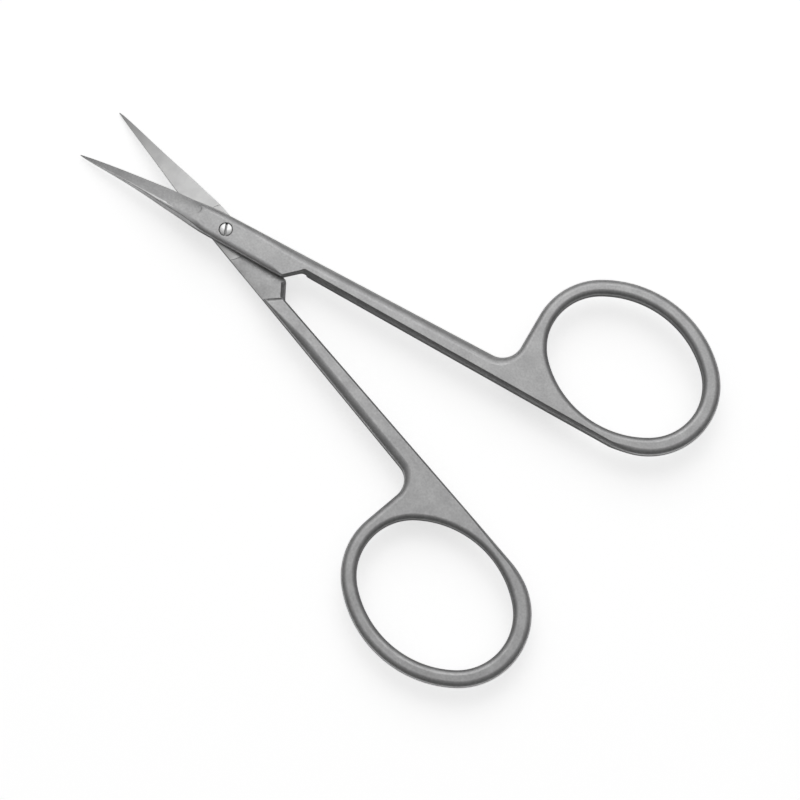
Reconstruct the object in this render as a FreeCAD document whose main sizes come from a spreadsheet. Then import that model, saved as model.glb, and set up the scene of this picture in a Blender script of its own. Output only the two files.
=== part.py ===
import FreeCAD, Part
import math
import os
import Sketcher

# Cuticle scissors: two mirrored halves turning on one slotted screw.
# Millimetres and degrees. The origin lies on the joint axis, in the plane of the
# lower half's flat underside, with +X toward the tips and +Z toward the screw head.
# Each half is drawn closed, in a frame of its own: its meeting face is z = 0,
# its plate rises to +z, its ring lies on the -y side and its spine on +y.

os.makedirs("parts", exist_ok=True)
doc = FreeCAD.newDocument("cuticle_scissors")

# Driving dimensions: alias, value, meaning
SIZES = (
    ("opening_angle", 19.6, "angle between the halves as they lie at rest"),
    ("plate_thickness", 1.5, "thickness of one half at the joint"),
    ("handle_depth", 1.1, "how far shank and ring reach past the meeting plane"),
    ("edge_round", 0.6, "rounding of the outline edges"),
    ("overrun", 0.5, "how far a cut reaches past the face it opens"),
    ("box_side", 1.95, "joint axis to the spine side of the box"),
    ("box_corner", 10.4, "joint axis back to the corner of the box"),
    ("end_offset", 0.6, "how much further back the lower half's box end stands"),
    ("box_end_angle", 43.0, "slant of the box end"),
    ("crotch_radius", 0.8, "hollow where the box end meets the shank"),
    ("outer_offset", 2.16, "joint axis to the outer side of the shank"),
    ("shank_taper", 1.42, "angle by which the outer side widens to the rear"),
    ("shank_gap", 0.15, "inner side of the shank to the closing line"),
    ("step_inner", 13.26, "joint axis back to the step, on the inner side"),
    ("step_outer", 11.2, "joint axis back to the step, on the outer side"),
    ("waist_start", 0.5, "where the outer side turns in toward the blade"),
    ("waist_radius", 40.0, "curve of the outer side into the cutting edge"),
    ("ring_reach", 59.22, "joint axis back to the middle of the finger hole"),
    ("ring_inset", 0.1, "far end of the ring to the line of the shank's inner side"),
    ("ring_tilt", 8.45, "turn of the finger hole's long axis"),
    ("hole_half_length", 11.9, "finger hole, half its long axis"),
    ("hole_half_width", 9.28, "finger hole, half its short axis"),
    ("ring_width", 2.38, "width of the ring seen from above"),
    ("ring_shift_back", 0.15, "how much more of the ring's width lies at its far end"),
    ("ring_shift_in", 0.1, "how much more of the ring's width lies on its inner side"),
    ("heel_radius", 3.0, "hollow where the outer side meets the ring"),
    ("blend_excess", 3.7, "how much flatter the ring runs into the inner side than it ends"),
    ("ride_radius", 4.2, "raised round land on the meeting face"),
    ("face_relief", 0.1, "how far the meeting face lies back around the land"),
    ("ride_clearance", 0.04, "oil gap between the two lands"),
    ("blade_root", 4.4, "joint axis to the start of the blade"),
    ("blade_lap", 0.2, "how far the blade reaches back into the plate"),
    ("blade_length", 25.2, "joint axis to the tip"),
    ("spine_offset", 1.9, "blade axis to the spine at the root"),
    ("edge_offset", 1.85, "blade axis to the cutting edge at the root"),
    ("bend_start", 1.0, "where the blade starts to curve"),
    ("bend_radius", 84.0, "curve of the blade seen from the side"),
    ("screw_diameter", 1.5, "plain and threaded shank of the screw"),
    ("screw_clearance", 0.03, "running gap around the shank in the upper half"),
    ("screw_inset", 0.1, "how far the screw's end lies inside the lower half"),
    ("screw_chamfer", 0.12, "chamfer of the screw's end"),
    ("head_diameter", 2.05, "screw head"),
    ("head_height", 0.55, "screw head, underside to rim"),
    ("head_dome", 0.14, "rise of the head's middle over its rim"),
    ("head_clearance", 0.06, "gap around the head in its counterbore"),
    ("head_recess", 0.08, "rim of the head below the face around it"),
    ("seat_clearance", 0.02, "oil gap under the head"),
    ("slot_width", 0.36, "screwdriver slot"),
    ("slot_depth", 0.38, "screwdriver slot, below the rim"),
    ("slot_turn", 122.0, "turn of the slot from the X axis"),
)

# Curve of the finger hole's ends, as a share of hole_half_width
HOLE_END_SHARE = 0.85

# The blade's sections from root to tip. Reach is a share of the way from the root
# to the tip, spine and edge are shares of spine_offset and edge_offset, and the
# rest are shares of plate_thickness: height of the ridge, of the spine wall and of
# the cutting edge, and the ridge's distance in from the spine.
REACH_SHARES = (0.0, 0.13, 0.27, 0.46, 0.65, 0.85, 0.96, 1.0)
SPINE_SHARES = (1.0, 0.87, 0.73, 0.51, 0.34, 0.20, 0.10, 0.04)
EDGE_SHARES = (1.0, 0.88, 0.81, 0.62, 0.43, 0.22, 0.08, 0.03)
RIDGE_SHARES = (1.0, 0.90, 0.78, 0.64, 0.50, 0.35, 0.24, 0.18)
SPINE_WALL_SHARES = (0.60, 0.48, 0.34, 0.22, 0.16, 0.11, 0.08, 0.06)
EDGE_WALL_SHARES = (0.60, 0.34, 0.20, 0.12, 0.09, 0.08, 0.07, 0.05)
RIDGE_INSET_SHARES = (0.40, 0.54, 0.46, 0.28, 0.16, 0.09, 0.05, 0.02)
# Place of the outer face's middle crease between the cutting edge and the ridge
CREASE_ACROSS_SHARES = (0.23, 0.30, 0.35, 0.40, 0.40, 0.40, 0.40, 0.40)
CREASE_UP_SHARES = (1.0, 0.62, 0.45, 0.44, 0.43, 0.42, 0.42, 0.42)

sheet = doc.addObject("Spreadsheet::Sheet", "Sizes")
for row, (alias, value, meaning) in enumerate(SIZES, start=1):
    sheet.set(f"A{row}", meaning)
    sheet.set(f"B{row}", str(value))
    sheet.setAlias(f"B{row}", alias)
doc.recompute()


class Size:
    """A number together with the expression on the sheet that it comes from."""

    def __init__(self, number, text):
        self.number = float(number)
        self.text = text

    @staticmethod
    def of(value):
        return value if isinstance(value, Size) else Size(value, f"({value!r})")

    def __add__(self, other):
        other = Size.of(other)
        return Size(self.number + other.number, f"({self.text} + {other.text})")

    def __sub__(self, other):
        other = Size.of(other)
        return Size(self.number - other.number, f"({self.text} - {other.text})")

    def __mul__(self, other):
        other = Size.of(other)
        return Size(self.number * other.number, f"({self.text} * {other.text})")

    def __truediv__(self, other):
        other = Size.of(other)
        return Size(self.number / other.number, f"({self.text} / {other.text})")

    def __neg__(self):
        return Size(-self.number, f"(0 - {self.text})")


def cosine(term):
    return Size(math.cos(math.radians(term.number)), f"cos({term.text})")


def sine(term):
    return Size(math.sin(math.radians(term.number)), f"sin({term.text})")


S = {alias: Size(sheet.get(alias), f"Sizes.{alias}") for alias, _, _ in SIZES}
ZERO = Size(0, "0")
SAME_PLACE = 1e-6


def point(x, y):
    return FreeCAD.Vector(x.number, y.number, 0)


# Sketch and feature helpers

def new_sketch(body, name, role, offset=ZERO):
    """A sketch on one of the body's own origin planes, moved along its normal."""
    sketch = body.newObject("Sketcher::SketchObject", name)
    plane = next(item for item in body.Origin.OriginFeatures if item.Role == role)
    sketch.AttachmentSupport = [(plane, "")]
    sketch.MapMode = "FlatFace"
    if offset is not ZERO:
        sketch.setExpression("AttachmentOffset.Base.z", offset.text)
    return sketch


def dimension(sketch, kind, *where, size):
    index = sketch.addConstraint(Sketcher.Constraint(kind, *where, size.number))
    sketch.setExpression(f"Constraints[{index}]", size.text)


def angle(sketch, line, size):
    radians = math.radians(size.number)
    index = sketch.addConstraint(Sketcher.Constraint("Angle", line, radians))
    sketch.setExpression(f"Constraints[{index}]", f"{size.text} * 1 deg")


def place(sketch, geometry, end, x, y):
    """Ties one end (1, 2) or the centre (3) of a piece of geometry to a place."""
    dimension(sketch, "DistanceX", -1, 1, geometry, end, size=x)
    dimension(sketch, "DistanceY", -1, 1, geometry, end, size=y)


def polygon(sketch, corners):
    """A closed outline of straight lines with every corner tied to the sheet."""
    first = sketch.GeometryCount
    count = len(corners)
    for i in range(count):
        start = point(*corners[i])
        end = point(*corners[(i + 1) % count])
        sketch.addGeometry(Part.LineSegment(start, end), False)
    for i in range(count):
        following = first + (i + 1) % count
        sketch.addConstraint(Sketcher.Constraint("Coincident", first + i, 2, following, 1))
        place(sketch, first + i, 1, *corners[i])


def circle(sketch, radius):
    """A circle around the joint axis."""
    whole = Part.Circle(FreeCAD.Vector(), FreeCAD.Vector(0, 0, 1), radius.number)
    index = sketch.addGeometry(whole, False)
    sketch.addConstraint(Sketcher.Constraint("Coincident", index, 3, -1, 1))
    dimension(sketch, "Radius", index, size=radius)


def arc_between(center, start, end):
    """The arc from start to end, turning anticlockwise around center."""
    radius = (start - center).Length
    first = math.atan2(start.y - center.y, start.x - center.x)
    last = math.atan2(end.y - center.y, end.x - center.x)
    whole = Part.Circle(center, FreeCAD.Vector(0, 0, 1), radius)
    return Part.ArcOfCircle(whole, first, last)


def chain(sketch, pieces):
    """Adds pieces given in order around the outline and joins each to the next.

    A piece is (geometry, end that comes first, end that comes last, smooth join to
    the next one). Returns the geometry's numbers.
    """
    numbers = [sketch.addGeometry(piece[0], False) for piece in pieces]
    for i, (_, _, last, smooth) in enumerate(pieces):
        j = (i + 1) % len(pieces)
        kind = "Tangent" if smooth else "Coincident"
        sketch.addConstraint(Sketcher.Constraint(kind, numbers[i], last, numbers[j], pieces[j][1]))
    return numbers


def pad(body, name, sketch, length, down=False):
    feature = body.newObject("PartDesign::Pad", name)
    feature.Profile = sketch
    feature.setExpression("Length", length.text)
    feature.Reversed = down
    doc.recompute()
    return feature


def pocket(body, name, sketch, depth, up=False):
    """Cuts the sketch's area out of the body and proves that it cut something."""
    before = body.Shape.Volume
    feature = body.newObject("PartDesign::Pocket", name)
    feature.Profile = sketch
    feature.setExpression("Length", depth.text)
    feature.Reversed = up
    doc.recompute()
    if body.Shape.Volume >= before:
        raise RuntimeError(f"{name} cuts nothing")
    return feature


# Geometry shared by the outlines of a half

hole_end_radius = S["hole_half_width"] * HOLE_END_SHARE
ring_end_radius = hole_end_radius + S["ring_width"]
blend_radius = ring_end_radius + S["blend_excess"]
end_shift = S["hole_half_length"] - hole_end_radius
tilt_cos = cosine(S["ring_tilt"])
tilt_sin = sine(S["ring_tilt"])
# The far end of the ring sets how far out the hole lies
far_offset = S["shank_gap"] + S["ring_inset"] + ring_end_radius + S["ring_shift_in"]
hole_x = -S["ring_reach"]
hole_y = -(far_offset + end_shift * tilt_sin)
near_x = hole_x + end_shift * tilt_cos
near_y = hole_y - end_shift * tilt_sin
far_x = hole_x - end_shift * tilt_cos
far_y = hole_y + end_shift * tilt_sin
# The side arcs of the hole touch both end arcs
width_excess = S["hole_half_width"] - hole_end_radius
side_radius = (
    end_shift * end_shift
    + S["hole_half_width"] * S["hole_half_width"]
    - hole_end_radius * hole_end_radius
) / (width_excess + width_excess)
side_shift = side_radius - S["hole_half_width"]
ring_side_radius = side_radius + S["ring_width"]
taper_slope = sine(S["shank_taper"]) / cosine(S["shank_taper"])


def outer_side(x):
    """Y of the shank's straight outer side at x."""
    return -S["outer_offset"] + x * taper_slope


def beyond(center, other, radius):
    """The point at radius from center, on the far side from other."""
    away = center - other
    away.normalize()
    return center + away * radius


near_center = point(near_x, near_y)
far_center = point(far_x, far_y)
lower_side_center = point(hole_x + side_shift * tilt_sin, hole_y + side_shift * tilt_cos)
upper_side_center = point(hole_x - side_shift * tilt_sin, hole_y - side_shift * tilt_cos)
# The ring's outside has the hole's shape, widened and shifted
ring_near_x = near_x - S["ring_shift_back"]
ring_near_y = near_y + S["ring_shift_in"]
ring_far_x = far_x - S["ring_shift_back"]
ring_far_y = far_y + S["ring_shift_in"]


def finger_hole(sketch):
    """The oval finger hole: two end arcs and two flatter side arcs, all touching."""
    radius = hole_end_radius.number
    near_low = beyond(near_center, lower_side_center, radius)
    far_low = beyond(far_center, lower_side_center, radius)
    near_high = beyond(near_center, upper_side_center, radius)
    far_high = beyond(far_center, upper_side_center, radius)
    near_end, high, far_end, low = chain(sketch, (
        (arc_between(near_center, near_low, near_high), 1, 2, True),
        (arc_between(upper_side_center, near_high, far_high), 1, 2, True),
        (arc_between(far_center, far_high, far_low), 1, 2, True),
        (arc_between(lower_side_center, far_low, near_low), 1, 2, True),
    ))
    place(sketch, near_end, 3, near_x, near_y)
    place(sketch, far_end, 3, far_x, far_y)
    dimension(sketch, "Radius", near_end, size=hole_end_radius)
    dimension(sketch, "Radius", far_end, size=hole_end_radius)
    dimension(sketch, "Radius", high, size=side_radius)
    dimension(sketch, "Radius", low, size=side_radius)


def handle_pieces(front, inner_front):
    """The outline from the outer side, round the ring, to the inner side.

    front is where the straight outer side starts and inner_front where the straight
    inner side ends.
    """
    radius = ring_end_radius.number
    heel = S["heel_radius"].number
    ring_near = point(ring_near_x, ring_near_y)
    ring_far = point(ring_far_x, ring_far_y)
    ring_side = lower_side_center + (ring_near - near_center)
    heel_x = ring_near.x + radius
    slope = math.radians(S["shank_taper"].number)
    along = FreeCAD.Vector(math.cos(slope), math.sin(slope), 0)
    square = FreeCAD.Vector(-along.y, along.x, 0)
    # The hollow touches the outer side and the upright line behind it
    touch_x = heel_x + heel - heel * math.sin(slope)
    touch = front + along * ((touch_x - front.x) / along.x)
    heel_center = touch - square * heel
    heel_low = FreeCAD.Vector(heel_x, heel_center.y, 0)
    near_side = ring_near + FreeCAD.Vector(radius, 0, 0)
    near_low = beyond(ring_near, ring_side, radius)
    far_low = beyond(ring_far, ring_side, radius)
    blend = blend_radius.number
    inner_y = inner_front.y
    rise = ring_far.y - (inner_y - blend)
    blend_center = FreeCAD.Vector(
        ring_far.x + math.sqrt((blend - radius) ** 2 - rise ** 2), inner_y - blend, 0
    )
    far_high = beyond(ring_far, blend_center, radius)
    blend_top = FreeCAD.Vector(blend_center.x, inner_y, 0)
    return (
        (Part.LineSegment(touch, front), 2, 1, True),
        (arc_between(heel_center, touch, heel_low), 1, 2, True),
        (Part.LineSegment(heel_low, near_side), 1, 2, True),
        (arc_between(ring_near, near_low, near_side), 2, 1, True),
        (arc_between(ring_side, far_low, near_low), 2, 1, True),
        (arc_between(ring_far, far_high, far_low), 2, 1, True),
        (arc_between(blend_center, blend_top, far_high), 2, 1, True),
        (Part.LineSegment(blend_top, inner_front), 1, 2, True),
    )


def handle_dimensions(sketch, numbers, front_x, front_y):
    """Dimensions of the outline made by handle_pieces."""
    outer, heel, upright, near_end, low, far_end, blend, inner = numbers
    place(sketch, outer, 2, front_x, front_y)
    angle(sketch, outer, S["shank_taper"])
    dimension(sketch, "Radius", heel, size=S["heel_radius"])
    sketch.addConstraint(Sketcher.Constraint("Vertical", upright))
    place(sketch, near_end, 3, ring_near_x, ring_near_y)
    place(sketch, far_end, 3, ring_far_x, ring_far_y)
    dimension(sketch, "Radius", near_end, size=ring_end_radius)
    dimension(sketch, "Radius", far_end, size=ring_end_radius)
    dimension(sketch, "Radius", low, size=ring_side_radius)
    dimension(sketch, "Radius", blend, size=blend_radius)
    sketch.addConstraint(Sketcher.Constraint("Horizontal", inner))
    dimension(sketch, "DistanceY", -1, 1, inner, 1, size=-S["shank_gap"])


def plate_outline(body, corner_back):
    """Box, shank and ring seen from above, with the finger hole.

    corner_back is how far the corner of the box lies behind the joint axis.
    """
    sketch = new_sketch(body, "plate_outline", "XY_Plane")
    front_x = S["waist_start"]
    front = point(front_x, outer_side(front_x))
    slope = math.radians(S["shank_taper"].number)
    square = FreeCAD.Vector(-math.sin(slope), math.cos(slope), 0)
    waist_center = front + square * S["waist_radius"].number
    root_x = S["blade_root"].number
    drop = math.sqrt(S["waist_radius"].number ** 2 - (root_x - waist_center.x) ** 2)
    edge_root = FreeCAD.Vector(root_x, waist_center.y - drop, 0)
    spine_root = point(S["blade_root"], S["box_side"])
    corner = point(-corner_back, S["box_side"])
    slant = math.radians(S["box_end_angle"].number)
    gap = -S["shank_gap"].number
    hollow = S["crotch_radius"].number
    # The hollow touches the inner side and the slanted box end
    crossing_x = corner.x - (corner.y - gap) / math.tan(slant)
    reach = hollow * math.tan(slant / 2)
    hollow_center = FreeCAD.Vector(crossing_x - reach, gap + hollow, 0)
    inner_front = FreeCAD.Vector(hollow_center.x, gap, 0)
    toward = FreeCAD.Vector(math.cos(slant), math.sin(slant), 0)
    end_low = FreeCAD.Vector(crossing_x, gap, 0) + toward * reach
    numbers = chain(sketch, handle_pieces(front, inner_front) + (
        (arc_between(hollow_center, inner_front, end_low), 1, 2, True),
        (Part.LineSegment(end_low, corner), 1, 2, False),
        (Part.LineSegment(corner, spine_root), 1, 2, False),
        (Part.LineSegment(spine_root, edge_root), 1, 2, False),
        (arc_between(waist_center, front, edge_root), 2, 1, True),
    ))
    crotch, box_end, side, blade_front, waist = numbers[8:]
    handle_dimensions(sketch, numbers[:8], front_x, outer_side(front_x))
    dimension(sketch, "Radius", crotch, size=S["crotch_radius"])
    angle(sketch, box_end, S["box_end_angle"])
    place(sketch, side, 1, -corner_back, S["box_side"])
    place(sketch, side, 2, S["blade_root"], S["box_side"])
    sketch.addConstraint(Sketcher.Constraint("Vertical", blade_front))
    dimension(sketch, "Radius", waist, size=S["waist_radius"])
    finger_hole(sketch)
    return sketch


def step_ends():
    """Where the step up to the shank starts and ends."""
    inner = (-S["step_inner"], -S["shank_gap"])
    outer = (-S["step_outer"], outer_side(-S["step_outer"]))
    return inner, outer


def handle_outline(body):
    """Shank and ring behind the step, with the finger hole."""
    sketch = new_sketch(body, "handle_outline", "XY_Plane")
    inner, outer = step_ends()
    pieces = handle_pieces(point(*outer), point(*inner))
    straight_inner = pieces[-1]
    pieces = pieces[:-1] + (straight_inner[:3] + (False,),)
    numbers = chain(sketch, pieces + (
        (Part.LineSegment(point(*inner), point(*outer)), 1, 2, False),
    ))
    handle_dimensions(sketch, numbers[:8], *outer)
    dimension(sketch, "DistanceX", -1, 1, numbers[7], 2, size=inner[0])
    finger_hole(sketch)
    return sketch


def relief_outline(body):
    """The meeting face ahead of the step, with the round land left standing."""
    sketch = new_sketch(body, "relief_outline", "XY_Plane")
    inner, outer = step_ends()
    side = S["outer_offset"] + S["ride_radius"]
    front = S["blade_root"] + S["ride_radius"]
    polygon(sketch, (
        inner,
        outer,
        (outer[0], -side),
        (front, -side),
        (front, side),
        (inner[0], side),
    ))
    circle(sketch, S["ride_radius"])
    return sketch


def blade_section(body, index, bend):
    """One section across the blade; bend is the side that it curves to."""
    start = S["blade_root"] - S["blade_lap"]
    reach = start + (S["blade_length"] - start) * REACH_SHARES[index]
    thickness = S["plate_thickness"]
    past = reach - S["bend_start"]
    drop = past * past / (S["bend_radius"] + S["bend_radius"])
    base = S["face_relief"] + drop * bend
    body_height = thickness - S["face_relief"]
    spine = S["spine_offset"] * SPINE_SHARES[index]
    edge = -S["edge_offset"] * EDGE_SHARES[index]
    ridge = spine - thickness * RIDGE_INSET_SHARES[index]
    edge_top = body_height * EDGE_WALL_SHARES[index]
    ridge_top = body_height * RIDGE_SHARES[index]
    crease = edge + (ridge - edge) * CREASE_ACROSS_SHARES[index]
    crease_top = edge_top + (ridge_top - edge_top) * CREASE_UP_SHARES[index]
    sketch = new_sketch(body, f"blade_section_{index}", "YZ_Plane", reach)
    polygon(sketch, (
        (edge, base),
        (spine, base),
        (spine, base + body_height * SPINE_WALL_SHARES[index]),
        (ridge, base + ridge_top),
        (crease, base + crease_top),
        (edge, base + edge_top),
    ))
    return sketch


def flat_edges(shape, level, straight_skip):
    """Names of the edges lying at a level, apart from one that joins two places."""
    names = []
    for number, edge in enumerate(shape.Edges, start=1):
        middle = edge.valueAt((edge.FirstParameter + edge.LastParameter) / 2)
        heights = [vertex.Z for vertex in edge.Vertexes] + [middle.z]
        level_off = max(abs(height - level) for height in heights)
        skip_off = (middle - straight_skip).Length
        if level_off < SAME_PLACE and skip_off > SAME_PLACE:
            names.append(f"Edge{number}")
    return names


def round_edges(body, base):
    """Rounds the outline on both faces, apart from the blade root and the step."""
    top = S["plate_thickness"].number
    bottom = -S["handle_depth"].number
    root = S["blade_root"].number
    front = [vertex.Y for vertex in base.Shape.Vertexes if abs(vertex.X - root) < SAME_PLACE]
    root_middle = FreeCAD.Vector(root, (min(front) + max(front)) / 2, top)
    inner, outer = step_ends()
    step_middle = (point(*inner) + point(*outer)) / 2
    step_middle.z = bottom
    names = flat_edges(base.Shape, top, root_middle) + flat_edges(base.Shape, bottom, step_middle)
    feature = body.newObject("PartDesign::Fillet", "rounded_edges")
    feature.Base = (base, names)
    feature.setExpression("Radius", S["edge_round"].text)
    doc.recompute()


def bore(body, name, radius):
    """A round hole through the joint."""
    sketch = new_sketch(body, name + "_outline", "XY_Plane", -S["overrun"])
    circle(sketch, radius)
    pocket(body, name, sketch, S["plate_thickness"] + S["overrun"] + S["overrun"], up=True)


def counterbore(body):
    """The recess for the screw head, cut from the outer face."""
    sketch = new_sketch(body, "head_recess_outline", "XY_Plane", S["plate_thickness"] + S["overrun"])
    circle(sketch, S["head_diameter"] / 2 + S["head_clearance"])
    depth = S["head_recess"] + S["head_height"] + S["seat_clearance"]
    pocket(body, "head_recess", sketch, S["overrun"] + depth)


def make_half(label, bend, corner_back):
    """One half of the scissors; bend is the side of its own frame the blade curves to."""
    body = doc.addObject("PartDesign::Body", label)
    body.Label = label
    pad(body, "plate", plate_outline(body, corner_back), S["plate_thickness"])
    handle = pad(body, "handle", handle_outline(body), S["handle_depth"], down=True)
    round_edges(body, handle)
    pocket(body, "face_relief", relief_outline(body), S["face_relief"], up=True)
    sections = [blade_section(body, index, bend) for index in range(len(REACH_SHARES))]
    blade = body.newObject("PartDesign::AdditiveLoft", "blade")
    blade.Profile = sections[0]
    blade.Sections = sections[1:]
    doc.recompute()
    return body


def make_screw():
    """The slotted joint screw, turned in one piece."""
    body = doc.addObject("PartDesign::Body", "pivot_screw")
    body.Label = "pivot_screw"
    half_gap = S["ride_clearance"] / 2
    rim = S["plate_thickness"] + half_gap - S["head_recess"]
    seat = rim - S["head_height"]
    end = S["screw_inset"] - S["plate_thickness"] - half_gap
    shank = S["screw_diameter"] / 2
    head = S["head_diameter"] / 2
    crown = rim + S["head_dome"]
    corners = (
        (ZERO, crown),
        (ZERO, end),
        (shank - S["screw_chamfer"], end),
        (shank, end + S["screw_chamfer"]),
        (shank, seat),
        (head, seat),
        (head, rim),
    )
    sketch = new_sketch(body, "screw_profile", "XZ_Plane")
    dome_radius = (head * head + S["head_dome"] * S["head_dome"]) / (S["head_dome"] + S["head_dome"])
    dome_center = point(ZERO, crown - dome_radius)
    last = len(corners) - 1
    pieces = [
        (Part.LineSegment(point(*corners[i]), point(*corners[i + 1])), 1, 2, False) for i in range(last)
    ]
    pieces.append((arc_between(dome_center, point(*corners[last]), point(*corners[0])), 1, 2, False))
    numbers = chain(sketch, pieces)
    for number, corner in zip(numbers, corners):
        place(sketch, number, 1, *corner)
    dimension(sketch, "Radius", numbers[last], size=dome_radius)
    turned = body.newObject("PartDesign::Revolution", "turned_blank")
    turned.Profile = sketch
    turned.ReferenceAxis = (sketch, ["V_Axis"])
    doc.recompute()
    slot = new_sketch(body, "slot_outline", "XY_Plane", crown + S["overrun"])
    length = head + S["overrun"]
    width = S["slot_width"] / 2
    turn_cos = cosine(S["slot_turn"])
    turn_sin = sine(S["slot_turn"])
    polygon(slot, [
        (along * turn_cos - across * turn_sin, along * turn_sin + across * turn_cos)
        for along, across in ((length, width), (-length, width), (-length, -width), (length, -width))
    ])
    pocket(body, "slot", slot, S["overrun"] + S["head_dome"] + S["slot_depth"])
    return body


# The three pieces

upper_half = make_half("upper_half", -1, S["box_corner"])
bore(upper_half, "screw_bore", S["screw_diameter"] / 2 + S["screw_clearance"])
counterbore(upper_half)

lower_half = make_half("lower_half", 1, S["box_corner"] + S["end_offset"])
bore(lower_half, "thread_bore", S["screw_diameter"] / 2)

pivot_screw = make_screw()

# Places at rest: the halves stand open by equal angles, the lower one turned over
half_opening = S["opening_angle"].number / 2
half_gap = S["ride_clearance"].number / 2
meeting_height = S["plate_thickness"].number + half_gap
up_axis = FreeCAD.Vector(0, 0, 1)
open_up = FreeCAD.Rotation(up_axis, half_opening)
open_down = FreeCAD.Rotation(up_axis, -half_opening)
turned_over = FreeCAD.Rotation(FreeCAD.Vector(1, 0, 0), 180)
upper_half.Placement = FreeCAD.Placement(up_axis * (meeting_height + half_gap), open_up)
lower_half.Placement = FreeCAD.Placement(
    up_axis * (meeting_height - half_gap), open_down.multiply(turned_over)
)
pivot_screw.Placement = FreeCAD.Placement(up_axis * meeting_height, FreeCAD.Rotation())
doc.recompute()

# Every object has to be sound before anything is written
for item in doc.Objects:
    if "Invalid" in item.State or "Error" in item.State:
        raise RuntimeError(f"{item.Label} failed: {item.State}")
    if item.TypeId == "Sketcher::SketchObject" and not item.FullyConstrained:
        raise RuntimeError(f"{item.Label} is not fully dimensioned")
for body in (upper_half, lower_half, pivot_screw):
    shape = body.Shape
    if shape.isNull() or not shape.isValid() or len(shape.Solids) != 1:
        raise RuntimeError(f"{body.Label} is not one sound solid")
for body in (upper_half, lower_half, pivot_screw):
    body.Shape.exportStep(f"parts/{body.Label}.step")
    box = body.Shape.BoundBox
    extent = f"{box.XLength:.2f} x {box.YLength:.2f} x {box.ZLength:.2f}"
    print(f"{body.Label}: {body.Shape.Volume:.2f} mm3, {extent}")
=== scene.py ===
# %% [markdown]
# # Cuticle scissors
# Two curved halves of satin stainless steel turn on one slotted screw. The CAD model holds the
# true sizes and the joint. Here both halves get the soft ground edges, the hollowed blades and the
# blasted finish that the eye reads as steel. Everything is in metres, in the CAD model's own frame.

import math

import bmesh
import bpy
import numpy as np
from mathutils import Matrix, Vector
from mathutils.geometry import delaunay_2d_cdt


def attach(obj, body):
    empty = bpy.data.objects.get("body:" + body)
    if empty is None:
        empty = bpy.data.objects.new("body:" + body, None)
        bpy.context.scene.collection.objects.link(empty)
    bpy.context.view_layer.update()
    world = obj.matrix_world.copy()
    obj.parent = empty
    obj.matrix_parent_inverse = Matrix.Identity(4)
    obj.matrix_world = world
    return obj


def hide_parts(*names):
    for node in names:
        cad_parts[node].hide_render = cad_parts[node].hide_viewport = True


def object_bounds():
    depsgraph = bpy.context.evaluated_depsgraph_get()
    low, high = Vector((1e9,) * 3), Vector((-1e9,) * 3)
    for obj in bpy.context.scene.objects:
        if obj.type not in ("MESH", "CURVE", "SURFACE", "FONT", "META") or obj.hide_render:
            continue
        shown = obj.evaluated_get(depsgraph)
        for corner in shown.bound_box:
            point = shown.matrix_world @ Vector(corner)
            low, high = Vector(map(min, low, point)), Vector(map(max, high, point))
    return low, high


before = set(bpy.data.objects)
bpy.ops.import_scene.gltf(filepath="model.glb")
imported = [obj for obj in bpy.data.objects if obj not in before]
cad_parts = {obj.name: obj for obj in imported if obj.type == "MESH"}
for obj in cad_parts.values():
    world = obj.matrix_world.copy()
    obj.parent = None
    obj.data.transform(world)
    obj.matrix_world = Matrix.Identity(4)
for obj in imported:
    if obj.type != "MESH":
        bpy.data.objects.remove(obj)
cad_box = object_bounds()

# %% [markdown]
# ## Sizes
# The halves are drawn one at a time, closed, in a frame of their own, as a toolmaker would: the
# meeting face is z = 0, the plate rises to +z, the ring lies on the -y side and the blade points
# to +x. Lengths are in millimetres and angles in degrees, the values that drive the CAD model but for
# a slightly smaller screw head and a blade that starts to bend just past the land.

# %% Sizes of one half
MM = 0.001
OPENING = 19.6
PLATE = 1.5
DEPTH = 1.1
HALF_GAP = 0.02
MEETING = PLATE + HALF_GAP
BOX_SIDE = 1.95
BOX_CORNER = 10.4
END_OFFSET = 0.6
BOX_END_ANGLE = 43.0
CROTCH = 0.8
CORNER_ROUND = 0.4
OUTER = 2.16
TAPER = math.radians(1.42)
SHANK_GAP = 0.15
STEP_OUTER = 11.2
STEP_INNER = 13.26
STEP_FADE = 10.0
STEP_ROUND = 0.6
STEP_DROP = 0.3
WAIST_START = 0.5
WAIST_RADIUS = 40.0
FRONT = 1.6
TIP = 25.2
BEND_START = 2.6
BEND_RADIUS = 73.3
LAND = 4.2
LAND_BEVEL = 0.05
RELIEF = 0.1
BORE = 0.78
THREAD = 0.75
HEAD_SEAT = 1.01
SEAT_DEPTH = 0.65

# %% Sizes of the finger ring
REACH = 59.22
TILT = math.radians(8.45)
HOLE_LENGTH = 11.9
HOLE_WIDTH = 9.28
HOLE_END = HOLE_WIDTH * 0.85
RING_WIDTH = 2.38
SHIFT_BACK = 0.15
SHIFT_IN = 0.1
RING_INSET = 0.1
HEEL = 3.0
BLEND_EXCESS = 3.7
RING_END = HOLE_END + RING_WIDTH
END_SHIFT = HOLE_LENGTH - HOLE_END
HOLE_SIDE = (END_SHIFT**2 + HOLE_WIDTH**2 - HOLE_END**2) / (2 * (HOLE_WIDTH - HOLE_END))
along_hole = np.array([math.cos(TILT), -math.sin(TILT)])
across_hole = np.array([math.sin(TILT), math.cos(TILT)])
hole_out = SHANK_GAP + RING_INSET + RING_END + SHIFT_IN + END_SHIFT * math.sin(TILT)
hole_center = np.array([-REACH, -hole_out])
print(f"finger hole {2 * HOLE_LENGTH:.1f} x {2 * HOLE_WIDTH:.1f} mm, side curve {HOLE_SIDE:.1f} mm")

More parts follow.
